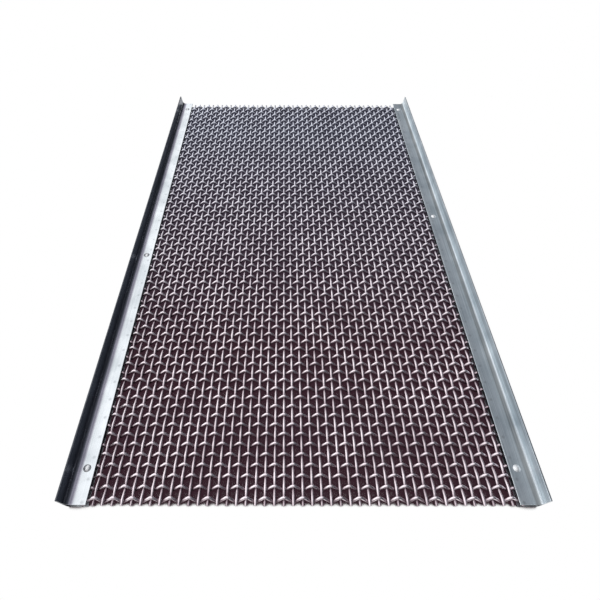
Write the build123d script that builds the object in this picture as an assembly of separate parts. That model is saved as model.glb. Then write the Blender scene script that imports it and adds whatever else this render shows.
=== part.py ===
"""Woven wire screen panel with riveted hook strips along its two long edges.

Frame: millimetres, +Z up, X across the panel, Y along it. The origin is on the
ground under the middle of the panel, which lies flat on its backing strips.
"""
import math
import os

from build123d import *

# Wire and weave
WIRE = 5.6              # thickness of every wire
WARP_PITCH = 16.0       # spacing of the lengthwise wires across the panel
WEFT_PITCH = 18.4       # spacing of the crosswise wires along the panel
END_STUB = 10.0         # wire left standing past the last crosswise wire

# The mat is a wall with groups of wires as ridges at their true places. The
# room between the groups opens one column of gaps more than there are groups.
WARP_COUNT = 3          # lengthwise wires in a group
WARP_SKIP_COUNT = 5     # lengthwise places between two groups
WEFT_COUNT = 2          # crosswise wires in a group
WEFT_SKIP_COUNT = 4     # crosswise places between two groups
WARP_GROUP_COUNT = 5    # groups of lengthwise wires across the panel
WEFT_GAP_COUNT = 12     # gaps along the panel
WEB = 3.0               # thickness of the mat between its wires

# Hook strips above the mat and backing strips below it, all bent from sheet
SHEET = 1.5             # thickness of the sheet
LEAF_LAP = 7.0          # how far a leaf reaches inward past the edge wire
BEND_INSIDE = 10.0      # inside radius of a hook strip's bend
BACK_BEND = 5.0         # outside radius of a backing strip's bend
HOOK_HEIGHT = 40.0      # top of the hooks above the ground
HOOK_LEAN = 8.0         # degrees that a hook leans outward

# Rivets
SHANK = 6.0             # shank diameter
SHANK_PLAY = 0.1        # room round the shank in its holes
RIVET_GAP = 1.2         # room between the edge wire and a shank
HEAD = 13.5             # head diameter
HEAD_RISE = 3.0         # height of the domed head
HEAD_MARGIN = 4.5       # flat left between a head and the bend
TAIL_FLARE = 1.4        # how far the countersunk tail spreads past the shank
RIVET_ROWS_LEFT = (-33, -5, 34)    # places along the panel, in crosswise pitches
RIVET_ROWS_RIGHT = (-33, 3, 34)

# Heights
HALF = WIRE / 2
MAT_MID = SHEET + WIRE
MAT_TOP = SHEET + 2 * WIRE
LEAF_TOP = MAT_TOP + SHEET

# The weave's grid
WARP_STEP = (WARP_COUNT + WARP_SKIP_COUNT) * WARP_PITCH
WEFT_STEP = (WEFT_COUNT + WEFT_SKIP_COUNT) * WEFT_PITCH
WARP_BLOCK = (WARP_COUNT - 1) * WARP_PITCH + WIRE
WEFT_BLOCK = (WEFT_COUNT - 1) * WEFT_PITCH + WIRE


def spread(count, pitch, middle=0.0):
    """Evenly spaced places, symmetrical about the middle."""
    return [middle + (number - (count - 1) / 2) * pitch for number in range(count)]


WARP_CENTRES = spread(WARP_GROUP_COUNT, WARP_STEP)
WEFT_CENTRES = spread(WEFT_GAP_COUNT + 1, WEFT_STEP)
END_CENTRE = WEFT_CENTRES[-1]
LAST_WEFT = max(y for y in spread(WEFT_COUNT, WEFT_PITCH, END_CENTRE) if y <= END_CENTRE)
MAT_REACH = LAST_WEFT + HALF
HALF_LENGTH = MAT_REACH + END_STUB
EDGE_WIRE = WARP_CENTRES[-1] + WARP_BLOCK / 2 - HALF + (WARP_SKIP_COUNT + 1) * WARP_PITCH

# Places across one long edge, outward from the middle of the panel
LEAF_EDGE = EDGE_WIRE - LEAF_LAP
RIVET_X = EDGE_WIRE + HALF + RIVET_GAP + SHANK / 2
LEAF_FLAT_END = RIVET_X + HEAD / 2 + HEAD_MARGIN
LEAN = math.radians(HOOK_LEAN)
CORNER_X = LEAF_FLAT_END + BEND_INSIDE * math.tan((math.pi / 2 - LEAN) / 2)
HOOK_SLANT = (HOOK_HEIGHT - LEAF_TOP) / math.cos(LEAN)


def crimped_outline(line):
    """Side view of a crimped wire that follows a line of (along, height) points."""
    top = [(along, height + HALF) for along, height in line]
    low = [(along, height - HALF) for along, height in reversed(line)]
    return make_face(Polyline(*top, *low, close=True))


def ride(centres, block, first_over):
    """A wire's line: level over or under each block, sloping in the gaps between."""
    line = []
    for number, centre in enumerate(centres):
        over = (number % 2 == 0) == first_over
        height = MAT_MID + (HALF if over else -HALF)
        line += [(centre - block / 2, height), (centre + block / 2, height)]
    return line


def warp_wires():
    """Lengthwise wires: neighbouring groups ride over in turn."""
    bars = []
    for first_over in (True, False):
        line = ride(WEFT_CENTRES, WEFT_BLOCK, first_over)
        line[0] = (-HALF_LENGTH, line[0][1])
        line[-1] = (HALF_LENGTH, line[-1][1])
        bars.append(extrude(Plane.YZ * crimped_outline(line), HALF, both=True))
    return [
        Pos(X=x) * bars[number % 2]
        for number, centre in enumerate(WARP_CENTRES)
        for x in spread(WARP_COUNT, WARP_PITCH, centre)
    ]


def weft_wires():
    """Crosswise wires: each is under wherever the lengthwise ones are over."""
    bars = []
    for first_over in (False, True):
        line = ride(WARP_CENTRES, WARP_BLOCK, first_over)
        line = [(-EDGE_WIRE, MAT_MID), *line, (EDGE_WIRE, MAT_MID)]
        bars.append(extrude(Plane.XZ * crimped_outline(line), HALF, both=True))
    return [
        Pos(Y=y) * bars[number % 2]
        for number, centre in enumerate(WEFT_CENTRES)
        for y in spread(WEFT_COUNT, WEFT_PITCH, centre)
        if abs(y) <= LAST_WEFT
    ]


def edge_wires():
    """The outermost lengthwise wires, as tall as the mat, that the strips clamp."""
    size = (WIRE, 2 * HALF_LENGTH, 2 * WIRE)
    return [Pos(x, 0, MAT_MID) * Box(*size) for x in (-EDGE_WIRE, EDGE_WIRE)]


def web():
    """The thin wall between the wires, with a gap between every two groups."""
    wall = Pos(Z=MAT_MID) * Box(2 * EDGE_WIRE, 2 * MAT_REACH, WEB)
    sides = [-EDGE_WIRE + HALF]
    for centre in WARP_CENTRES:
        sides += [centre - WARP_BLOCK / 2, centre + WARP_BLOCK / 2]
    sides.append(EDGE_WIRE - HALF)
    gaps = []
    for left, right in zip(sides[::2], sides[1::2]):
        for near, far in zip(WEFT_CENTRES, WEFT_CENTRES[1:]):
            hole = Box(right - left, far - near - WEFT_BLOCK, 2 * WEB)
            gaps.append(Pos((left + right) / 2, (near + far) / 2, MAT_MID) * hole)
    return wall - gaps


def sheet_path(flat_height, outward, radius):
    """Middle line, across one edge, of a sheet that runs out flat and turns up.

    The upright lies `outward` of the hook's inner face.
    """
    base = Vector(CORNER_X, LEAF_TOP)
    up = Vector(math.sin(LEAN), math.cos(LEAN))
    out = Vector(math.cos(LEAN), -math.sin(LEAN))
    foot = base + out * outward
    corner = foot + up * ((flat_height - foot.Y) / up.Y)
    top = foot + up * HOOK_SLANT
    return FilletPolyline((LEAF_EDGE, flat_height), corner, top, radius=radius)


def bent_sheet(path):
    """A sheet as long as the panel, bent along the right edge."""
    section = trace(path, line_width=SHEET)
    return extrude(Plane.XZ * section, HALF_LENGTH, both=True)


def wire_mesh():
    """The mat as one solid: a wall with its wires as ridges, and its clamped edges."""
    return web() + warp_wires() + weft_wires() + edge_wires()


def rivet_places(rows):
    """Rivets along the right edge, each midway between two crosswise wires."""
    return [Pos(RIVET_X, row * WEFT_PITCH) for row in rows]


def hook_strip(rows):
    """Bent sheet on top of the mat's right edge, with its rivet holes."""
    strip = bent_sheet(sheet_path(LEAF_TOP - SHEET / 2, SHEET / 2, BEND_INSIDE + SHEET / 2))
    hole = Pos(Z=LEAF_TOP - SHEET / 2) * Cylinder(SHANK / 2 + SHANK_PLAY, 2 * SHEET)
    return strip - [place * hole for place in rivet_places(rows)]


def backing_strip(rows):
    """Sheet under the mat's right edge, bent up flat against the hook strip."""
    strip = bent_sheet(sheet_path(SHEET / 2, 1.5 * SHEET, BACK_BEND - SHEET / 2))
    narrow = SHANK / 2 + SHANK_PLAY
    hole = Pos(Z=SHEET / 2) * Cone(narrow + TAIL_FLARE, narrow, SHEET)
    return strip - [place * hole for place in rivet_places(rows)]


def rivet():
    """Dome-headed rivet, its tail spread flush into the backing strip."""
    outline = Polyline(
        (0, LEAF_TOP + HEAD_RISE), (0, 0), (SHANK / 2 + TAIL_FLARE, 0),
        (SHANK / 2, SHEET), (SHANK / 2, LEAF_TOP), (HEAD / 2, LEAF_TOP),
    )
    ball = (HEAD ** 2 / 4 + HEAD_RISE ** 2) / (2 * HEAD_RISE)
    dome = RadiusArc((HEAD / 2, LEAF_TOP), (0, LEAF_TOP + HEAD_RISE), -ball)
    return revolve(Plane.XZ * make_face(outline + dome), Axis.Z)


def rivets(rows):
    """The rivets of the right edge, as separate solids."""
    return Compound(children=[place * rivet() for place in rivet_places(rows)])


def main():
    """Write one file for each piece."""
    pieces = {
        "wire_mesh": wire_mesh(),
        "hook_strip_right": hook_strip(RIVET_ROWS_RIGHT),
        "hook_strip_left": mirror(hook_strip(RIVET_ROWS_LEFT), Plane.YZ),
        "backing_strip_right": backing_strip(RIVET_ROWS_RIGHT),
        "backing_strip_left": mirror(backing_strip(RIVET_ROWS_LEFT), Plane.YZ),
        "rivets_right": rivets(RIVET_ROWS_RIGHT),
        "rivets_left": mirror(rivets(RIVET_ROWS_LEFT), Plane.YZ),
    }
    os.makedirs("parts", exist_ok=True)
    for name, piece in pieces.items():
        export_step(piece, f"parts/{name}.step")


main()
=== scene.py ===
"""Woven wire screen panel: its crimped wires, bent hook strips, rivets and studio.

Every length in the classes is in millimetres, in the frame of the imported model, and
is turned to metres where a mesh is made.
"""
import logging
import math
from dataclasses import dataclass, field
from enum import Enum
from typing import Any

import bmesh
import bpy
from mathutils import Matrix, Vector


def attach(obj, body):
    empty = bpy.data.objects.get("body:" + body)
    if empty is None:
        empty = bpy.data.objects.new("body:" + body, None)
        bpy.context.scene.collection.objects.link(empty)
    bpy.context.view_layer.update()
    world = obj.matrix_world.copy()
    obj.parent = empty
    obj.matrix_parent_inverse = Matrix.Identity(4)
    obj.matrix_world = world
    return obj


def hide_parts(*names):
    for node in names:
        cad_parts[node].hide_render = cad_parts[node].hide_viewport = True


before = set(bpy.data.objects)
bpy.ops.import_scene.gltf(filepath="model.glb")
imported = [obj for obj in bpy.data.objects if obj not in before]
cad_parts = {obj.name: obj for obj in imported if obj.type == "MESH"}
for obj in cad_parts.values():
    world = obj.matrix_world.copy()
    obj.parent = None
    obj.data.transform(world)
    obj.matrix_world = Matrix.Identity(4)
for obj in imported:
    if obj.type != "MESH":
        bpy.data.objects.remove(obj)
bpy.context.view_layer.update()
LOG = logging.getLogger("screen_panel")
MM = 0.001


class Side(Enum):
    """The two long edges of the panel, by the sign of X."""

    LEFT = -1
    RIGHT = 1

    @property
    def word(self) -> str:
        """The side's name as it ends the names of nodes and pieces."""
        return self.name.lower()


class Run(Enum):
    """The two directions in which wires run."""

    LENGTHWISE = "lengthwise"
    CROSSWISE = "crosswise"


def linear(code: str, alpha: float = 1.0) -> tuple[float, float, float, float]:
    """Turn an sRGB hex colour to linear values.

    Args:
        code: six hex digits, such as "C9CED1".
        alpha: the fourth value.

    Returns:
        Red, green, blue and alpha, linear.
    """
    values = [int(code[place:place + 2], 16) / 255 for place in (0, 2, 4)]
    red, green, blue = (
        value / 12.92 if value <= 0.04045 else ((value + 0.055) / 1.055) ** 2.4
        for value in values
    )
    return red, green, blue, alpha


def add_node(tree: bpy.types.NodeTree, kind: str, settings: dict[str, Any] | None = None,
             inputs: dict[str | int, Any] | None = None) -> bpy.types.Node:
    """Add a node with its settings, its input values and its links.

    Args:
        tree: the node tree that gets the node.
        kind: Blender's name for the kind of node.
        settings: attributes of the node and their values.
        inputs: socket names or numbers, each with a value or with an output to link.

    Returns:
        The new node.
    """
    node = tree.nodes.new(kind)
    for name, value in (settings or {}).items():
        setattr(node, name, value)
    for key, value in (inputs or {}).items():
        socket = node.inputs[key]
        if isinstance(value, bpy.types.NodeSocket):
            tree.links.new(value, socket)
        else:
            socket.default_value = value
    return node


def set_stops(ramp_node: bpy.types.Node, stops: list[tuple[float, str]]) -> None:
    """Give a colour ramp its stops.

    Args:
        ramp_node: a Color Ramp node.
        stops: positions from 0 to 1, each with an sRGB hex colour.
    """
    elements = ramp_node.color_ramp.elements
    while len(elements) < len(stops):
        elements.new(1.0)
    for element, (place, code) in zip(elements, stops):
        element.position = place
        element.color = linear(code)


def new_piece(name: str, mesh: bpy.types.Mesh) -> bpy.types.Object:
    """Put a mesh in the scene as an object at the origin."""
    piece = bpy.data.objects.new(name, mesh)
    bpy.context.scene.collection.objects.link(piece)
    return piece


def frozen(piece: bpy.types.Object) -> bpy.types.Object:
    """Turn an object with live modifiers to a plain mesh.

    Args:
        piece: the object, whose modifiers are applied and removed.

    Returns:
        The same object with its result as its mesh.
    """
    evaluated = piece.evaluated_get(bpy.context.evaluated_depsgraph_get())
    mesh = bpy.data.meshes.new_from_object(evaluated)
    piece.modifiers.clear()
    mesh.name = piece.name
    piece.data = mesh
    return piece


@dataclass(frozen=True)
class WireSteel:
    """Drawn carbon steel wire, crimped and woven.

    The crowns carry a painted highlight and the valleys a dark, slightly reddish painted
    shade, so the mat looks silvery on top and nearly black in its depth. The painted colour
    turns from wine at the near end to slate at the far end, as a painted reflection tint.
    """

    run: Run
    # Colours of the painted highlight on the crowns, the flanks and the painted shade in the
    # valleys, near and far
    crown: str = "F6EBF0"
    flank: str = "AE9CA4"
    valley: str = "5A4850"
    far_crown: str = "E6E9F3"
    far_flank: str = "B0B1BE"
    far_valley: str = "52505F"
    # Painted reflection tint: the wire colour drifts from wine to slate between these places
    wine_until: float = -350.0
    slate_from: float = 500.0
    # Heights where the painted highlight and the painted shade are full
    rubbed_height: float = 11.6
    valley_height: float = 4.0
    streak_width: float = 0.9
    streak_length: float = 26.0
    patch_size: float = 75.0

    def material(self) -> bpy.types.Material:
        """Build the wire's material.

        Returns:
            A metal whose colour follows height as painted highlight and painted shade, with
            drawing streaks and wide patches.
        """
        material = bpy.data.materials.new(f"drawn_steel_wire_{self.run.value}")
        material.use_nodes = True
        tree = material.node_tree
        shader = tree.nodes["Principled BSDF"]
        place = add_node(tree, "ShaderNodeTexCoord").outputs["Object"]
        parts = add_node(tree, "ShaderNodeSeparateXYZ", None, {0: place})
        along, across = 1 / (self.streak_length * MM), 1 / (self.streak_width * MM)
        scale = (across, along, across) if self.run is Run.LENGTHWISE else (along, across, across)
        drawn = add_node(tree, "ShaderNodeMapping", None, {"Vector": place, "Scale": scale})
        streaks = add_node(tree, "ShaderNodeTexNoise", None,
                           {"Vector": drawn.outputs[0], "Scale": 1.0, "Detail": 3.0})
        patches = add_node(tree, "ShaderNodeTexNoise", None,
                           {"Vector": place, "Scale": 1 / (self.patch_size * MM), "Detail": 4.0})
        uneven = add_node(tree, "ShaderNodeMapRange", None,
                          {"Value": patches.outputs["Fac"], "From Min": 0.3, "From Max": 0.7,
                           "To Min": -1.3 * MM, "To Max": 1.3 * MM})
        scraped = add_node(tree, "ShaderNodeMapRange", None,
                           {"Value": streaks.outputs["Fac"], "From Min": 0.3, "From Max": 0.7,
                            "To Min": -1.0 * MM, "To Max": 1.0 * MM})
        lifted = add_node(tree, "ShaderNodeMath", {"operation": "ADD"},
                          {0: parts.outputs["Z"], 1: uneven.outputs[0]})
        worn = add_node(tree, "ShaderNodeMath", {"operation": "ADD"},
                        {0: lifted.outputs[0], 1: scraped.outputs[0]})
        # Painted highlight on the crowns and painted shade in the valleys, by height
        level = add_node(tree, "ShaderNodeMapRange", None,
                         {"Value": worn.outputs[0], "From Min": self.valley_height * MM,
                          "From Max": self.rubbed_height * MM})
        wine = add_node(tree, "ShaderNodeValToRGB", None, {0: level.outputs[0]})
        set_stops(wine, [(0.0, self.valley), (0.55, self.flank), (1.0, self.crown)])
        slate = add_node(tree, "ShaderNodeValToRGB", None, {0: level.outputs[0]})
        set_stops(slate, [(0.0, self.far_valley), (0.55, self.far_flank), (1.0, self.far_crown)])
        # Painted reflection tint, wine towards the near end and slate towards the far end
        drift = add_node(tree, "ShaderNodeMapRange", None,
                         {"Value": parts.outputs["Y"], "From Min": self.wine_until * MM,
                          "From Max": self.slate_from * MM})
        film = add_node(tree, "ShaderNodeMix", {"data_type": "RGBA"},
                        {"Factor": drift.outputs[0], 6: wine.outputs[0], 7: slate.outputs[0]})
        gloss = add_node(tree, "ShaderNodeMapRange", None,
                         {"Value": level.outputs[0], "To Min": 0.45, "To Max": 0.24})
        bump = add_node(tree, "ShaderNodeBump", None,
                        {"Height": streaks.outputs["Fac"], "Strength": 0.35,
                         "Distance": 0.05 * MM})
        tree.links.new(film.outputs[2], shader.inputs["Base Color"])
        tree.links.new(gloss.outputs[0], shader.inputs["Roughness"])
        tree.links.new(bump.outputs[0], shader.inputs["Normal"])
        shader.inputs["Metallic"].default_value = 1.0
        return material


@dataclass(frozen=True)
class SheetSteel:
    """Cold rolled mild steel sheet, satin, with faint rolling lines and handling marks.

    It mirrors the room softly. Painted shade and painted highlight, a tone that changes
    from the leaf over the bend to the top, make one strip white and dark, the other grey.
    """

    name: str
    rough: tuple[float, float]
    # Stops of the painted shade and painted highlight, by distance from the middle in mm
    film: tuple[tuple[float, str], ...]
    streak: float = 0.45
    bright: str = "EEF3F6"
    dull: str = "D2D9DD"
    mark: str = "8C9297"
    line_width: float = 1.2
    line_length: float = 160.0
    cloud_size: float = 55.0
    crown_pitch: float = 36.8
    crown_place: float = 368.0
    crown_size: float = 9.0
    # Span across the strip of the painted shade and painted highlight
    film_start: float = 361.0
    film_end: float = 402.0

    def material(self) -> bpy.types.Material:
        """Build the sheet's material.

        Returns:
            A metal with rolling lines, cloudy wear, small darker marks on the leaf where the
            wire crowns press from below, and painted shade and highlight across the strip.
        """
        material = bpy.data.materials.new(self.name)
        material.use_nodes = True
        tree = material.node_tree
        shader = tree.nodes["Principled BSDF"]
        place = add_node(tree, "ShaderNodeTexCoord").outputs["Object"]
        across, along = 1 / (self.line_width * MM), 1 / (self.line_length * MM)
        rolled = add_node(tree, "ShaderNodeMapping", None,
                          {"Vector": place, "Scale": (across, along, across)})
        lines = add_node(tree, "ShaderNodeTexNoise", None,
                         {"Vector": rolled.outputs[0], "Scale": 1.0, "Detail": 3.0})
        clouds = add_node(tree, "ShaderNodeTexNoise", None,
                          {"Vector": place, "Scale": 1 / (self.cloud_size * MM), "Detail": 5.0})
        blend = add_node(tree, "ShaderNodeMath", {"operation": "MULTIPLY_ADD"},
                         {0: lines.outputs["Fac"], 1: self.streak, 2: clouds.outputs["Fac"]})
        middle, reach = 0.5 + self.streak / 2, 0.13 + self.streak * 0.13
        share = add_node(tree, "ShaderNodeMapRange", None,
                         {"Value": blend.outputs[0], "From Min": middle - reach,
                          "From Max": middle + reach})
        tone = add_node(tree, "ShaderNodeValToRGB", None, {0: share.outputs[0]})
        set_stops(tone, [(0.0, self.dull), (1.0, self.bright)])
        spots = self.crown_spots(tree, place)
        colour = add_node(tree, "ShaderNodeMix", {"data_type": "RGBA"},
                          {"Factor": spots, 6: tone.outputs[0], 7: linear(self.mark)})
        # Multiply by the painted shade and painted highlight across the strip
        painted_light_coloured = add_node(tree, "ShaderNodeMix", {"data_type": "RGBA", "blend_type": "MULTIPLY"},
                          {"Factor": 1.0, 6: colour.outputs[2],
                           7: self.film_tone(tree, place)})
        gloss = add_node(tree, "ShaderNodeMapRange", None,
                         {"Value": share.outputs[0],
                          "To Min": self.rough[0], "To Max": self.rough[1]})
        bump = add_node(tree, "ShaderNodeBump", None,
                        {"Height": lines.outputs["Fac"], "Strength": 0.2,
                         "Distance": 0.03 * MM})
        tree.links.new(painted_light_coloured.outputs[2], shader.inputs["Base Color"])
        tree.links.new(gloss.outputs[0], shader.inputs["Roughness"])
        tree.links.new(bump.outputs[0], shader.inputs["Normal"])
        shader.inputs["Metallic"].default_value = 1.0
        return material

    def film_tone(self, tree: bpy.types.NodeTree,
                  place: bpy.types.NodeSocket) -> bpy.types.NodeSocket:
        """Paint shade and highlight across the sheet, changing from the leaf to the top.

        Args:
            tree: the material's node tree.
            place: object coordinates.

        Returns:
            A colour that the sheet's own is multiplied by.
        """
        parts = add_node(tree, "ShaderNodeSeparateXYZ", None, {0: place})
        side = add_node(tree, "ShaderNodeMath", {"operation": "ABSOLUTE"}, {0: parts.outputs["X"]})
        across = add_node(tree, "ShaderNodeMapRange", None,
                          {"Value": side.outputs[0], "From Min": self.film_start * MM,
                           "From Max": self.film_end * MM})
        tone = add_node(tree, "ShaderNodeValToRGB", None, {0: across.outputs[0]})
        width = self.film_end - self.film_start
        set_stops(tone, [((mm - self.film_start) / width, code) for mm, code in self.film])
        return tone.outputs[0]

    def crown_spots(self, tree: bpy.types.NodeTree,
                    place: bpy.types.NodeSocket) -> bpy.types.NodeSocket:
        """Mark the leaf over every second crosswise wire.

        Args:
            tree: the material's node tree.
            place: object coordinates.

        Returns:
            A value that is high on the marks and 0 elsewhere.
        """
        parts = add_node(tree, "ShaderNodeSeparateXYZ", None, {0: place})
        side = add_node(tree, "ShaderNodeMath", {"operation": "ABSOLUTE"}, {0: parts.outputs["X"]})
        away = add_node(tree, "ShaderNodeMath", {"operation": "SUBTRACT"},
                        {0: side.outputs[0], 1: self.crown_place * MM})
        phase = add_node(tree, "ShaderNodeMath", {"operation": "PINGPONG"},
                         {0: parts.outputs["Y"], 1: self.crown_pitch / 2 * MM})
        spot = add_node(tree, "ShaderNodeCombineXYZ", None,
                        {"X": away.outputs[0], "Y": phase.outputs[0]})
        reach = add_node(tree, "ShaderNodeVectorMath", {"operation": "LENGTH"},
                         {0: spot.outputs[0]})
        worn = add_node(tree, "ShaderNodeMapRange", {"interpolation_type": "SMOOTHSTEP"},
                        {"Value": reach.outputs["Value"], "From Min": 0.5 * MM,
                         "From Max": self.crown_size / 2 * MM, "To Min": 0.4, "To Max": 0.0})
        top = add_node(tree, "ShaderNodeMath", {"operation": "GREATER_THAN"},
                       {0: parts.outputs["Z"], 1: 13.0 * MM})
        kept = add_node(tree, "ShaderNodeMath", {"operation": "MULTIPLY"},
                        {0: worn.outputs[0], 1: top.outputs[0]})
        return kept.outputs[0]


@dataclass(frozen=True)
class RivetSteel:
    """Plain steel rivet, its head hammered smooth and brighter than the sheet."""

    bright: str = "FCFDFE"
    dull: str = "D6DADD"
    mark_size: float = 3.0

    def material(self) -> bpy.types.Material:
        """Build the rivet's material.

        Returns:
            A bright metal with small hammer marks.
        """
        material = bpy.data.materials.new("hammered_steel_rivet")
        material.use_nodes = True
        tree = material.node_tree
        shader = tree.nodes["Principled BSDF"]
        place = add_node(tree, "ShaderNodeTexCoord").outputs["Object"]
        blows = add_node(tree, "ShaderNodeTexVoronoi", None,
                         {"Vector": place, "Scale": 1 / (self.mark_size * MM)})
        film = add_node(tree, "ShaderNodeTexNoise", None,
                        {"Vector": place, "Scale": 1 / (1.5 * MM), "Detail": 4.0})
        tone = add_node(tree, "ShaderNodeValToRGB", None, {0: film.outputs["Fac"]})
        set_stops(tone, [(0.35, self.dull), (0.6, self.bright)])
        gloss = add_node(tree, "ShaderNodeMapRange", None,
                         {"Value": film.outputs["Fac"], "To Min": 0.55, "To Max": 0.35})
        bump = add_node(tree, "ShaderNodeBump", None,
                        {"Height": blows.outputs["Distance"], "Strength": 0.3,
                         "Distance": 0.15 * MM})
        tree.links.new(tone.outputs[0], shader.inputs["Base Color"])
        tree.links.new(gloss.outputs[0], shader.inputs["Roughness"])
        tree.links.new(bump.outputs[0], shader.inputs["Normal"])
        shader.inputs["Metallic"].default_value = 1.0
        return material


@dataclass
class Weave:
    """The mat: two sets of crimped wires that pass over and under each other."""

    wire: float = 5.6
    middle_height: float = 7.1
    lengthwise_pitch: float = 16.0
    lengthwise_wires: int = 47
    crosswise_pitch: float = 18.4
    crosswise_wires: int = 72
    crosswise_shift: float = -3.0
    lengthwise_crimp: float = 1.5
    crosswise_crimp: float = 4.2
    crosswise_kink: float = 2.2
    peak: float = 0.93
    held_past: float = 360.0
    length: float = 1332.0
    width: float = 741.6
    sides: int = 8
    points_per_crossing: int = 6
    slack: float = 0.22
    sway: float = 0.8
    sway_length: float = 210.0
    seed: int = 7
    pieces: list[bpy.types.Object] = field(default_factory=list)

    def build(self) -> list[bpy.types.Object]:
        """Weave both sets of wires, each in two halves.

        Returns:
            Four pieces, which together stand for the mat's solid.
        """
        tree = self.wire_tree()
        shifted = self.crosswise_shift / self.crosswise_pitch
        runs = (
            (Run.LENGTHWISE, self.lengthwise_wires, self.lengthwise_pitch,
             self.crosswise_pitch, self.length, (self.crosswise_wires - 1) / 2 - shifted,
             self.crosswise_wires / 2 * self.crosswise_pitch, 0.0,
             self.lengthwise_crimp, 0.0),
            (Run.CROSSWISE, self.crosswise_wires, self.crosswise_pitch,
             self.lengthwise_pitch, self.width, (self.lengthwise_wires - 1) / 2 + 1,
             self.held_past, -self.crosswise_shift,
             self.crosswise_crimp, self.crosswise_kink),
        )
        for run, count, spacing, crossing, length, phase, reach, shift, crimp, kink in runs:
            material = WireSteel(run).material()
            points = round(length / crossing * self.points_per_crossing) + 1
            first = 0
            for half, wires in (("low", (count + 1) // 2), ("high", count // 2)):
                values = {
                    "Wires": wires,
                    "First Wire": first,
                    "Spacing": spacing * MM,
                    "First Place": ((first - (count - 1) / 2) * spacing - shift) * MM,
                    "Length": length * MM,
                    "Points": points,
                    "Crossing Pitch": crossing * MM,
                    "Crossing Phase": math.pi * phase,
                    "Crimp": crimp * MM,
                    "Kink": kink * MM,
                    "Crimp Reach": reach * MM,
                    "Radius": self.wire / 2 * MM,
                    "Sides": self.sides,
                    "Peak": self.peak,
                    "Middle Height": self.middle_height * MM,
                    "Slack": self.slack * MM,
                    "Sway": self.sway * MM,
                    "Sway Length": self.sway_length * MM,
                    "Seed": self.seed + (0 if run is Run.LENGTHWISE else 1),
                    "Turn": 0.0 if run is Run.LENGTHWISE else math.pi / 2,
                    "Finish": material,
                }
                self.pieces.append(self.weave_half(f"{run.value}_wires_{half}", tree, values))
                first += wires
        return self.pieces

    def weave_half(self, name: str, tree: bpy.types.GeometryNodeTree,
                   values: dict[str, Any]) -> bpy.types.Object:
        """Run the wire tree once and keep its result as a plain mesh.

        Args:
            name: the piece's name.
            tree: the wire tree.
            values: the tree's inputs by name.

        Returns:
            The finished piece, which stands for the mat.
        """
        piece = new_piece(name, bpy.data.meshes.new(name))
        modifier = piece.modifiers.new("weave", "NODES")
        modifier.node_group = tree
        for item in tree.interface.items_tree:
            if item.item_type == "SOCKET" and item.in_out == "INPUT" and item.name in values:
                modifier[item.identifier] = values[item.name]
        frozen(piece)
        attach(piece, "root")
        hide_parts("wire_mesh")
        return piece

    def wire_tree(self) -> bpy.types.GeometryNodeTree:
        """Make the tree that lays out, crimps and thickens one set of wires.

        Returns:
            A Geometry Nodes tree with named inputs for its sizes.
        """
        tree = bpy.data.node_groups.new("crimped_wires", "GeometryNodeTree")
        face = tree.interface
        face.new_socket("Geometry", in_out="INPUT", socket_type="NodeSocketGeometry")
        whole = ("Wires", "First Wire", "Points", "Sides", "Seed")
        sizes = ("Spacing", "First Place", "Length", "Crossing Pitch", "Crossing Phase",
                 "Crimp", "Kink", "Peak", "Crimp Reach", "Radius", "Middle Height",
                 "Slack", "Sway", "Sway Length", "Turn")
        for name in whole:
            face.new_socket(name, in_out="INPUT", socket_type="NodeSocketInt")
        for name in sizes:
            face.new_socket(name, in_out="INPUT", socket_type="NodeSocketFloat")
        face.new_socket("Finish", in_out="INPUT", socket_type="NodeSocketMaterial")
        face.new_socket("Geometry", in_out="OUTPUT", socket_type="NodeSocketGeometry")
        given = tree.nodes.new("NodeGroupInput").outputs
        calc = "ShaderNodeMath"

        # Straight wires, side by side
        start = add_node(tree, "ShaderNodeCombineXYZ", None, {"X": given["First Place"]})
        step = add_node(tree, "ShaderNodeCombineXYZ", None, {"X": given["Spacing"]})
        places = add_node(tree, "GeometryNodeMeshLine", None,
                          {"Count": given["Wires"], "Start Location": start.outputs[0],
                           "Offset": step.outputs[0]})
        half = add_node(tree, calc, {"operation": "MULTIPLY"}, {0: given["Length"], 1: 0.5})
        back = add_node(tree, calc, {"operation": "MULTIPLY"}, {0: half.outputs[0], 1: -1.0})
        near = add_node(tree, "ShaderNodeCombineXYZ", None, {"Y": back.outputs[0]})
        far = add_node(tree, "ShaderNodeCombineXYZ", None, {"Y": half.outputs[0]})
        line = add_node(tree, "GeometryNodeCurvePrimitiveLine", None,
                        {"Start": near.outputs[0], "End": far.outputs[0]})
        beads = add_node(tree, "GeometryNodeResampleCurve", None,
                         {"Curve": line.outputs[0], "Count": given["Points"]})
        rows = add_node(tree, "GeometryNodeInstanceOnPoints", None,
                        {"Points": places.outputs[0], "Instance": beads.outputs[0]})
        loose = add_node(tree, "GeometryNodeRealizeInstances", None, {0: rows.outputs[0]})

        # Each point's wire number, its distance along the wire and its place across
        number = add_node(tree, "GeometryNodeCurveOfPoint").outputs["Curve Index"]
        wire = add_node(tree, calc, {"operation": "ADD"}, {0: number, 1: given["First Wire"]})
        spot = add_node(tree, "ShaderNodeSeparateXYZ", None,
                        {0: add_node(tree, "GeometryNodeInputPosition").outputs[0]})
        along = spot.outputs["Y"]
        reach = add_node(tree, calc, {"operation": "ABSOLUTE"}, {0: along})
        way = add_node(tree, calc, {"operation": "SIGN"}, {0: along})

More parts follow.
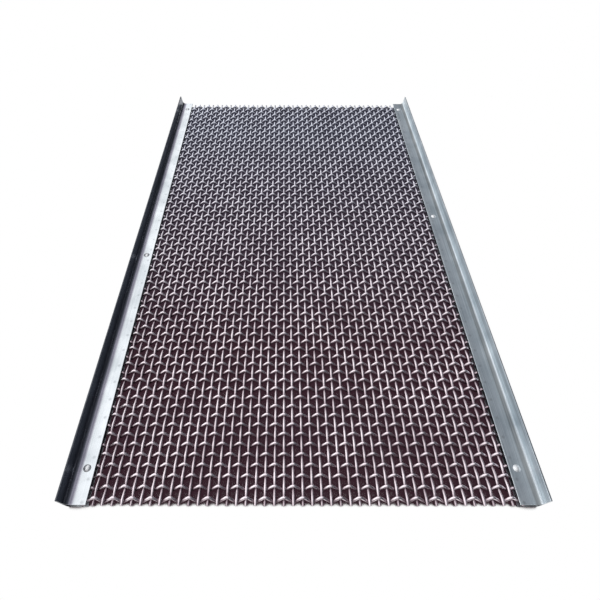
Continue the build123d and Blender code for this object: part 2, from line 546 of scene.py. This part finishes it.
        # The crimp: over one crossing wire and under the next
        held = add_node(tree, calc, {"operation": "MINIMUM"},
                        {0: reach.outputs[0], 1: given["Crimp Reach"]})
        signed = add_node(tree, calc, {"operation": "MULTIPLY"},
                          {0: held.outputs[0], 1: way.outputs[0]})
        crossings = add_node(tree, calc, {"operation": "DIVIDE"},
                             {0: signed.outputs[0], 1: given["Crossing Pitch"]})
        turns = add_node(tree, calc, {"operation": "ADD"},
                         {0: crossings.outputs[0], 1: wire.outputs[0]})
        angle = add_node(tree, calc, {"operation": "MULTIPLY_ADD"},
                         {0: turns.outputs[0], 1: math.pi, 2: given["Crossing Phase"]})
        swing = add_node(tree, calc, {"operation": "COSINE"}, {0: angle.outputs[0]})
        eased = add_node(tree, calc, {"operation": "MULTIPLY"},
                         {0: swing.outputs[0], 1: given["Peak"]})
        legs = add_node(tree, calc, {"operation": "ARCSINE"}, {0: eased.outputs[0]})
        most = add_node(tree, calc, {"operation": "ARCSINE"}, {0: given["Peak"]})
        wave = add_node(tree, calc, {"operation": "DIVIDE"},
                        {0: legs.outputs[0], 1: most.outputs[0]})
        crimp = add_node(tree, calc, {"operation": "MULTIPLY_ADD"},
                         {0: wave.outputs[0], 1: given["Crimp"], 2: given["Middle Height"]})

        # Loose weaving: each wire is a little off its place and sways along its length
        least = add_node(tree, calc, {"operation": "MULTIPLY"}, {0: given["Slack"], 1: -1.0})
        off = add_node(tree, "FunctionNodeRandomValue", {"data_type": "FLOAT"},
                       {2: least.outputs[0], 3: given["Slack"], "ID": number,
                        "Seed": given["Seed"]})
        pace = add_node(tree, calc, {"operation": "DIVIDE"},
                        {0: along, 1: given["Sway Length"]})
        track = add_node(tree, "ShaderNodeCombineXYZ", None,
                         {"X": wire.outputs[0], "Y": pace.outputs[0], "Z": given["Seed"]})
        drift = add_node(tree, "ShaderNodeTexNoise", {"noise_dimensions": "3D"},
                         {"Vector": track.outputs[0], "Scale": 1.0, "Detail": 1.0})
        centred = add_node(tree, calc, {"operation": "SUBTRACT"},
                           {0: drift.outputs[0], 1: 0.5})
        swayed = add_node(tree, calc, {"operation": "MULTIPLY_ADD"},
                          {0: centred.outputs[0], 1: given["Sway"], 2: off.outputs[1]})
        kinked = add_node(tree, calc, {"operation": "MULTIPLY_ADD"},
                          {0: wave.outputs[0], 1: given["Kink"], 2: swayed.outputs[0]})
        across = add_node(tree, calc, {"operation": "ADD"},
                          {0: spot.outputs["X"], 1: kinked.outputs[0]})

        # Thicken the wires, turn them to their run and give them their finish
        moved = add_node(tree, "ShaderNodeCombineXYZ", None,
                         {"X": across.outputs[0], "Y": along, "Z": crimp.outputs[0]})
        shaped = add_node(tree, "GeometryNodeSetPosition", None,
                          {"Geometry": loose.outputs[0], "Position": moved.outputs[0]})
        ring = add_node(tree, "GeometryNodeCurvePrimitiveCircle", None,
                        {"Resolution": given["Sides"], "Radius": given["Radius"]})
        thick = add_node(tree, "GeometryNodeCurveToMesh", None,
                         {"Curve": shaped.outputs[0], "Profile Curve": ring.outputs[0],
                          "Fill Caps": True})
        smooth = add_node(tree, "GeometryNodeSetShadeSmooth", None, {0: thick.outputs[0]})
        turn = add_node(tree, "ShaderNodeCombineXYZ", None, {"Z": given["Turn"]})
        turned = add_node(tree, "GeometryNodeTransform", None,
                          {"Geometry": smooth.outputs[0], "Rotation": turn.outputs[0]})
        real = add_node(tree, "GeometryNodeRealizeInstances", None, {0: turned.outputs[0]})
        done = add_node(tree, "GeometryNodeSetMaterial", None,
                        {"Geometry": real.outputs[0], "Material": given["Finish"]})
        add_node(tree, "NodeGroupOutput", None, {0: done.outputs[0]})
        return tree


@dataclass
class EdgeStrips:
    """The sheet strips of one long edge: the hook on the mat and the backing under it."""

    side: Side
    steel: bpy.types.Material
    backing_steel: bpy.types.Material
    sheet: float = 1.5
    leaf_edge: float = 361.0
    leaf_top: float = 14.2
    flat_end: float = 386.25
    inside_radius: float = 10.0
    lean: float = 8.0
    top_height: float = 40.0
    length: float = 1332.0
    edge_round: float = 0.6
    ring_step: float = 4.6
    bend_steps: int = 12
    flat_step: float = 2.6
    crown_pitch: float = 36.8
    crown_place: float = 368.0
    crown_lift: float = 0.35
    edge_wander: float = 0.35

    def build(self) -> list[bpy.types.Object]:
        """Make both strips of this edge.

        Returns:
            The hook strip and the backing strip.
        """
        return [self.hook_strip(), self.backing_strip()]

    def middle_line(self) -> list[tuple[float, float, float, float]]:
        """Follow the middle of the hook strip's sheet, from the leaf's edge to the top.

        Returns:
            Points as across, height and the sheet's normal there.
        """
        centre_height = self.leaf_top + self.inside_radius
        radius = self.inside_radius + self.sheet / 2
        flat = self.leaf_top - self.sheet / 2
        count = round((self.flat_end - self.leaf_edge) / self.flat_step)
        line = [
            (self.leaf_edge + (self.flat_end - self.leaf_edge) * step / count, flat, 0.0, 1.0)
            for step in range(count)
        ]
        sweep = math.radians(90 - self.lean)
        for step in range(self.bend_steps + 1):
            angle = sweep * step / self.bend_steps
            line.append((self.flat_end + radius * math.sin(angle),
                         centre_height - radius * math.cos(angle),
                         -math.sin(angle), math.cos(angle)))
        across, height, normal_x, normal_z = line[-1]
        top = self.top_height + self.sheet / 2 * math.sin(math.radians(self.lean))
        rise = (top - self.sheet * math.sin(math.radians(self.lean)) - height)
        rise /= math.cos(math.radians(self.lean))
        for part in (0.25, 0.5, 0.75, 1.0):
            line.append((across + rise * part * math.sin(math.radians(self.lean)),
                         height + rise * part * math.cos(math.radians(self.lean)),
                         normal_x, normal_z))
        return line

    def section(self) -> list[tuple[float, float]]:
        """Outline of the hook strip's sheet with softly rounded free edges.

        Returns:
            Points as across and height, in order round the section.
        """
        line = self.middle_line()
        half, small = self.sheet / 2, self.edge_round
        inner = [(x + nx * half, z + nz * half) for x, z, nx, nz in line]
        outer = [(x - nx * half, z - nz * half) for x, z, nx, nz in line]
        up = (math.sin(math.radians(self.lean)), math.cos(math.radians(self.lean)))
        x_end, z_end, nx_end, nz_end = line[-1]
        top_in = (x_end + nx_end * (half - small), z_end + nz_end * (half - small))
        top_out = (x_end - nx_end * (half - small), z_end - nz_end * (half - small))
        inner[-1] = (inner[-1][0] - up[0] * small, inner[-1][1] - up[1] * small)
        outer[-1] = (outer[-1][0] - up[0] * small, outer[-1][1] - up[1] * small)
        low = inner[0][0]
        inner[0] = (low + small, inner[0][1])
        outer[0] = (low + small, outer[0][1])
        start = [(low, outer[0][1] + small), (low, inner[0][1] - small)]
        return start + inner + [top_in, top_out] + outer[::-1]

    def lift(self, across: float, along: float) -> float:
        """How far the wire crowns below push the leaf up at a place.

        Args:
            across: distance from the panel's middle.
            along: place along the panel.

        Returns:
            The rise in millimetres.
        """
        phase = (along / self.crown_pitch) % 1.0
        near = min(phase, 1 - phase) * self.crown_pitch
        spread = math.hypot(across - self.crown_place, near) / (self.crown_place * 0.012)
        return self.crown_lift * math.exp(-spread * spread)

    def wander(self, along: float) -> float:
        """Small waves of the sheared top edge along the panel, in millimetres."""
        slow = math.sin(along / 97.0 + 1.3 * self.side.value)
        quick = math.sin(along / 31.0 + 2.1)
        return -self.edge_wander * (0.5 + 0.35 * slow + 0.15 * quick)

    def hook_strip(self) -> bpy.types.Object:
        """Sweep the hook strip's section along the panel.

        Returns:
            The finished strip, which stands for its solid.
        """
        name = f"hook_strip_{self.side.word}_sheet"
        outline = self.section()
        rings = round(self.length / self.ring_step)
        shape = bmesh.new()
        grid = []
        for number in range(rings + 1):
            along = self.length * (number / rings - 0.5)
            ring = []
            for across, height in outline:
                share = max(0.0, (height - 24.0) / (self.top_height - 24.0))
                up = height + self.wander(along) * share
                if height < self.leaf_top + 0.5:
                    up += self.lift(across, along)
                ring.append(shape.verts.new((across * self.side.value * MM, along * MM, up * MM)))
            grid.append(ring)
        count = len(outline)
        for low, high in zip(grid, grid[1:]):
            for place in range(count):
                after = (place + 1) % count
                shape.faces.new((low[place], low[after], high[after], high[place]))
        shape.faces.new(grid[0])
        shape.faces.new(grid[-1])
        bmesh.ops.recalc_face_normals(shape, faces=shape.faces)
        mesh = bpy.data.meshes.new(name)
        shape.to_mesh(mesh)
        shape.free()
        return self.dress(new_piece(name, mesh), f"hook_strip_{self.side.word}", self.steel)

    def backing_strip(self) -> bpy.types.Object:
        """Merge a copy of the backing strip's solid, so that its bend shades smoothly.

        Returns:
            The finished strip, which stands for its solid.
        """
        node = f"backing_strip_{self.side.word}"
        mesh = bpy.data.objects[node].data.copy()
        mesh.name = f"{node}_sheet"
        mesh.materials.clear()
        shape = bmesh.new()
        shape.from_mesh(mesh)
        bmesh.ops.remove_doubles(shape, verts=shape.verts, dist=0.002 * MM)
        bmesh.ops.recalc_face_normals(shape, faces=shape.faces)
        shape.to_mesh(mesh)
        shape.free()
        return self.dress(new_piece(mesh.name, mesh), node, self.backing_steel)

    def dress(self, piece: bpy.types.Object, node: str,
              steel: bpy.types.Material) -> bpy.types.Object:
        """Give a strip its steel and its place in the frame.

        Args:
            piece: the strip.
            node: the solid that it stands for.
            steel: the finish of its sheet.

        Returns:
            The same piece.
        """
        piece.data.materials.append(steel)
        piece.data.polygons.foreach_set("use_smooth", [True] * len(piece.data.polygons))
        piece.data.set_sharp_from_angle(angle=math.radians(35))
        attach(piece, "root")
        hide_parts(node)
        return piece


@dataclass
class RivetRow:
    """The dome-headed rivets of one long edge."""

    side: Side
    steel: bpy.types.Material
    places: tuple[float, ...]
    across: float = 375.0
    shank: float = 6.0
    flare: float = 1.4
    sheet: float = 1.5
    leaf_top: float = 14.2
    head: float = 13.5
    rise: float = 3.0
    turns: int = 40
    seed: int = 3

    def outline(self) -> list[tuple[float, float]]:
        """The rivet's half section, from the top of its dome to its tail.

        Returns:
            Points as radius and height.
        """
        ball = (self.head ** 2 / 4 + self.rise ** 2) / (2 * self.rise)
        centre = self.leaf_top + self.rise - ball
        widest = math.asin(self.head / 2 / ball)
        dome = [
            (ball * math.sin(widest * step / 8), centre + ball * math.cos(widest * step / 8))
            for step in range(1, 8)
        ]
        rim = self.head / 2
        low = self.leaf_top
        shank = self.shank / 2
        return dome + [(rim - 0.1, low + 0.25), (rim, low + 0.1), (rim, low),
                       (shank, low), (shank, self.sheet), (shank + self.flare, 0.0)]

    def one_rivet(self) -> bpy.types.Object:
        """Turn the outline round its axis to a closed rivet.

        Returns:
            One rivet at the origin, to be repeated.
        """
        shape = bmesh.new()
        top = shape.verts.new((0, 0, (self.leaf_top + self.rise) * MM))
        end = shape.verts.new((0, 0, 0))
        rings = []
        for radius, height in self.outline():
            rings.append([
                shape.verts.new((radius * math.cos(math.tau * turn / self.turns) * MM,
                                 radius * math.sin(math.tau * turn / self.turns) * MM,
                                 height * MM))
                for turn in range(self.turns)
            ])
        for turn in range(self.turns):
            after = (turn + 1) % self.turns
            shape.faces.new((top, rings[0][turn], rings[0][after]))
            shape.faces.new((end, rings[-1][after], rings[-1][turn]))
            for high, low in zip(rings, rings[1:]):
                shape.faces.new((high[turn], low[turn], low[after], high[after]))
        bmesh.ops.recalc_face_normals(shape, faces=shape.faces)
        mesh = bpy.data.meshes.new("one_rivet")
        shape.to_mesh(mesh)
        shape.free()
        mesh.polygons.foreach_set("use_smooth", [True] * len(mesh.polygons))
        mesh.set_sharp_from_angle(angle=math.radians(40))
        return new_piece("one_rivet", mesh)

    def build(self) -> bpy.types.Object:
        """Set the rivets along their edge, each turned at random about its axis.

        Returns:
            The finished row, which stands for its solids.
        """
        name = f"rivet_row_{self.side.word}"
        tree = bpy.data.node_groups.new(name, "GeometryNodeTree")
        face = tree.interface
        face.new_socket("Geometry", in_out="INPUT", socket_type="NodeSocketGeometry")
        face.new_socket("Rivet", in_out="INPUT", socket_type="NodeSocketObject")
        face.new_socket("Seed", in_out="INPUT", socket_type="NodeSocketInt")
        face.new_socket("Finish", in_out="INPUT", socket_type="NodeSocketMaterial")
        face.new_socket("Geometry", in_out="OUTPUT", socket_type="NodeSocketGeometry")
        given = tree.nodes.new("NodeGroupInput").outputs
        part = add_node(tree, "GeometryNodeObjectInfo", None, {"Object": given["Rivet"]})
        turn = add_node(tree, "FunctionNodeRandomValue", {"data_type": "FLOAT_VECTOR"},
                        {0: (0.0, 0.0, 0.0), 1: (0.0, 0.0, math.tau), "Seed": given["Seed"]})
        turned = add_node(tree, "FunctionNodeEulerToRotation", None, {0: turn.outputs[0]})
        set_in = add_node(tree, "GeometryNodeInstanceOnPoints", None,
                          {"Points": given["Geometry"], "Instance": part.outputs["Geometry"],
                           "Rotation": turned.outputs[0]})
        real = add_node(tree, "GeometryNodeRealizeInstances", None, {0: set_in.outputs[0]})
        done = add_node(tree, "GeometryNodeSetMaterial", None,
                        {"Geometry": real.outputs[0], "Material": given["Finish"]})
        add_node(tree, "NodeGroupOutput", None, {0: done.outputs[0]})

        mesh = bpy.data.meshes.new(name)
        mesh.from_pydata([(self.across * self.side.value * MM, place * MM, 0.0)
                          for place in self.places], [], [])
        piece = new_piece(name, mesh)
        rivet = self.one_rivet()
        values = {"Rivet": rivet, "Seed": self.seed, "Finish": self.steel}
        modifier = piece.modifiers.new("rivets", "NODES")
        modifier.node_group = tree
        for item in tree.interface.items_tree:
            if item.item_type == "SOCKET" and item.in_out == "INPUT" and item.name in values:
                modifier[item.identifier] = values[item.name]
        frozen(piece)
        bpy.data.objects.remove(rivet)
        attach(piece, "root")
        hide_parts(f"rivets_{self.side.word}")
        return piece


@dataclass
class Studio:
    """The pale floor, the soft light and the camera."""

    floor_size: float = 9000.0
    floor_tone: str = "E6E4E5"
    gap_tone: str = "35222A"
    far_gap_tone: str = "3A3846"
    wine_until: float = -350.0
    slate_from: float = 500.0
    shade_reach: float = 150.0
    focal: float = 25.219
    shift: float = 0.0263
    place: tuple[float, float, float] = (-33.6, -828.5, 772.4)
    down: float = 51.921
    yaw: float = 0.199
    roll: float = 0.234
    ceiling_light: float = 1.45
    ceiling_stops: tuple[tuple[float, str], ...] = (
        (0.20, "FFFFFF"), (0.49, "FFFFFF"), (0.54, "E6E6E8"), (0.68, "E6E6E8"),
        (0.727, "6C6F75"), (0.813, "60636A"), (0.933, "3E4044"))

    def build(self) -> None:
        """Set up the floor, the room and the camera."""
        self.floor()
        self.room()
        self.camera()

    def floor(self) -> None:
        """Lay a white floor that is dark, wine to slate, where the mat hides the light."""
        mesh = bpy.data.meshes.new("studio_floor")
        half = self.floor_size / 2 * MM
        mesh.from_pydata([(-half, -half, 0), (half, -half, 0), (half, half, 0), (-half, half, 0)],
                         [], [(0, 1, 2, 3)])
        piece = new_piece("studio_floor", mesh)
        material = bpy.data.materials.new("white_paper_floor")
        material.use_nodes = True
        tree = material.node_tree
        tree.nodes.clear()
        lit = add_node(tree, "ShaderNodeBsdfDiffuse", None, {"Color": linear(self.floor_tone)})
        shade = add_node(tree, "ShaderNodeAmbientOcclusion", {"samples": 24},
                         {"Distance": self.shade_reach * MM})
        near = add_node(tree, "ShaderNodeValToRGB", None, {0: shade.outputs["AO"]})
        set_stops(near, [(0.52, self.gap_tone), (0.64, "FFFFFF")])
        far = add_node(tree, "ShaderNodeValToRGB", None, {0: shade.outputs["AO"]})
        set_stops(far, [(0.52, self.far_gap_tone), (0.64, "FFFFFF")])
        place = add_node(tree, "ShaderNodeTexCoord").outputs["Object"]
        parts = add_node(tree, "ShaderNodeSeparateXYZ", None, {0: place})
        drift = add_node(tree, "ShaderNodeMapRange", None,
                         {"Value": parts.outputs["Y"], "From Min": self.wine_until * MM,
                          "From Max": self.slate_from * MM})
        depth = add_node(tree, "ShaderNodeMix", {"data_type": "RGBA"},
                         {"Factor": drift.outputs[0], 6: near.outputs[0], 7: far.outputs[0]})
        white = add_node(tree, "ShaderNodeEmission", None, {"Color": depth.outputs[2]})
        path = add_node(tree, "ShaderNodeLightPath")
        seen = add_node(tree, "ShaderNodeMath", {"operation": "MAXIMUM"},
                        {0: path.outputs["Is Camera Ray"], 1: path.outputs["Is Glossy Ray"]})
        mixed = add_node(tree, "ShaderNodeMixShader", None,
                         {0: seen.outputs[0], 1: lit.outputs[0], 2: white.outputs[0]})
        add_node(tree, "ShaderNodeOutputMaterial", None, {"Surface": mixed.outputs[0]})
        mesh.materials.append(material)

    def room(self) -> None:
        """Surround the panel with a room: softbox above, open left, dim right and behind."""
        world = bpy.data.worlds.new("studio_room")
        bpy.context.scene.world = world
        world.use_nodes = True
        tree = world.node_tree
        tree.nodes.clear()
        way = add_node(tree, "ShaderNodeTexCoord").outputs["Generated"]
        parts = add_node(tree, "ShaderNodeSeparateXYZ", None, {0: way})
        raised = add_node(tree, "ShaderNodeMath", {"operation": "MAXIMUM"},
                          {0: parts.outputs["Z"], 1: 0.05})
        ceiling = add_node(tree, "ShaderNodeMath", {"operation": "DIVIDE"},
                           {0: parts.outputs["X"], 1: raised.outputs[0]})
        place = add_node(tree, "ShaderNodeMapRange", None,
                         {"Value": ceiling.outputs[0], "From Min": -4.0, "From Max": 2.0})
        glow = add_node(tree, "ShaderNodeValToRGB", None, {0: place.outputs[0]})
        set_stops(glow, self.ceiling_stops)
        left = add_node(tree, "ShaderNodeMath", {"operation": "MINIMUM"},
                        {0: parts.outputs["X"], 1: 0.0})
        opened = add_node(tree, "ShaderNodeMath", {"operation": "MULTIPLY_ADD"},
                          {0: left.outputs[0], 1: -0.35, 2: parts.outputs["Z"]})
        level = add_node(tree, "ShaderNodeMapRange", {"interpolation_type": "SMOOTHSTEP"},
                         {"Value": opened.outputs[0], "From Min": 0.05, "From Max": 0.30,
                          "To Min": 0.08, "To Max": self.ceiling_light})
        behind = add_node(tree, "ShaderNodeMapRange", {"interpolation_type": "SMOOTHSTEP"},
                          {"Value": parts.outputs["Y"], "From Min": -0.85, "From Max": -0.35,
                           "To Min": 0.25, "To Max": 1.0})
        strength = add_node(tree, "ShaderNodeMath", {"operation": "MULTIPLY"},
                            {0: level.outputs[0], 1: behind.outputs[0]})
        walls = add_node(tree, "ShaderNodeBackground", None,
                         {"Color": glow.outputs[0], "Strength": strength.outputs[0]})
        white = add_node(tree, "ShaderNodeBackground", None,
                         {"Color": (1.0, 1.0, 1.0, 1.0), "Strength": 1.0})
        path = add_node(tree, "ShaderNodeLightPath")
        mixed = add_node(tree, "ShaderNodeMixShader", None,
                         {0: path.outputs["Is Camera Ray"], 1: walls.outputs[0],
                          2: white.outputs[0]})
        add_node(tree, "ShaderNodeOutputWorld", None, {"Surface": mixed.outputs[0]})

    def camera(self) -> None:
        """Stand the camera where the photograph was taken from."""
        data = bpy.data.cameras.new("camera")
        data.lens = self.focal
        data.sensor_width = 36.0
        data.shift_x = self.shift
        data.clip_start, data.clip_end = 0.02, 60.0
        down, yaw, roll = (math.radians(angle) for angle in (self.down, self.yaw, self.roll))
        ahead = Vector((math.sin(yaw) * math.cos(down), math.cos(yaw) * math.cos(down),
                        -math.sin(down)))
        level = ahead.cross(Vector((0, 0, 1))).normalized()
        top = level.cross(ahead)
        right = math.cos(roll) * level + math.sin(roll) * top
        up = math.cos(roll) * top - math.sin(roll) * level
        turn = Matrix((right, up, -ahead)).transposed()
        camera = bpy.data.objects.new("camera", data)
        bpy.context.scene.collection.objects.link(camera)
        camera.matrix_world = Matrix.Translation(Vector(self.place) * MM) @ turn.to_4x4()
        bpy.context.scene.camera = camera


def main() -> None:
    """Build the panel and the studio."""
    logging.basicConfig(level=logging.INFO, format="%(message)s")
    Studio().build()
    for piece in Weave().build():
        LOG.info("%s: %d faces", piece.name, len(piece.data.polygons))
    # Painted shade on the left hook: white leaf, darkening over the bend and wall, lighter at the
    # top edge
    scale = ((381.0, "FFFFFF"), (383.2, "E4E0E6"), (385.0, "B8B2BC"), (387.0, "938D9A"),
             (391.0, "96939C"), (396.0, "7C7E86"), (399.2, "7A7C84"), (400.4, "C4C6CC"))
    # Painted shade and painted highlight on the right hook: dimmed over the lower bend, a painted
    # highlight line high on the bend
    right_painted_shade_and_highlight = ((378.0, "E4E4E4"), (386.0, "D0D0D0"), (388.5, "929292"), (393.2, "8E8E8E"),
              (395.0, "FFFFFF"), (396.8, "FFFFFF"), (397.4, "DCDCDC"), (402.0, "E8E8E8"))
    # Painted shade on the left backing, darkening towards its top
    left_backing_painted_shade = ((380.0, "FFFFFF"), (394.0, "6E7076"))
    plain = ((380.0, "FFFFFF"), (394.0, "F4F4F4"))
    sheets = {
        Side.LEFT: SheetSteel("smooth_rolled_sheet", (0.32, 0.24), scale),
        Side.RIGHT: SheetSteel("brushed_rolled_sheet", (0.46, 0.36), right_painted_shade_and_highlight, 1.2,
                               "F2FAFF", "BCC8D0"),
    }
    backings = {
        # The left backing carries painted shade towards its top
        Side.LEFT: SheetSteel("scaled_backing_sheet", (0.6, 0.5), left_backing_painted_shade, 0.6),
        Side.RIGHT: SheetSteel("brushed_backing_sheet", (0.46, 0.36), plain, 1.2,
                               "E4E8EB", "B4BABF"),
    }
    rivet = RivetSteel().material()
    rows = {Side.LEFT: (-607.2, -92.0, 625.6), Side.RIGHT: (-607.2, 55.2, 625.6)}
    for side, places in rows.items():
        strips = EdgeStrips(side, sheets[side].material(), backings[side].material())
        for piece in strips.build():
            LOG.info("%s: %d faces", piece.name, len(piece.data.polygons))
        row = RivetRow(side, rivet, places).build()
        LOG.info("%s: %d faces", row.name, len(row.data.polygons))
    bpy.context.scene.view_settings.view_transform = "Standard"


if __name__ == "__main__":
    main()
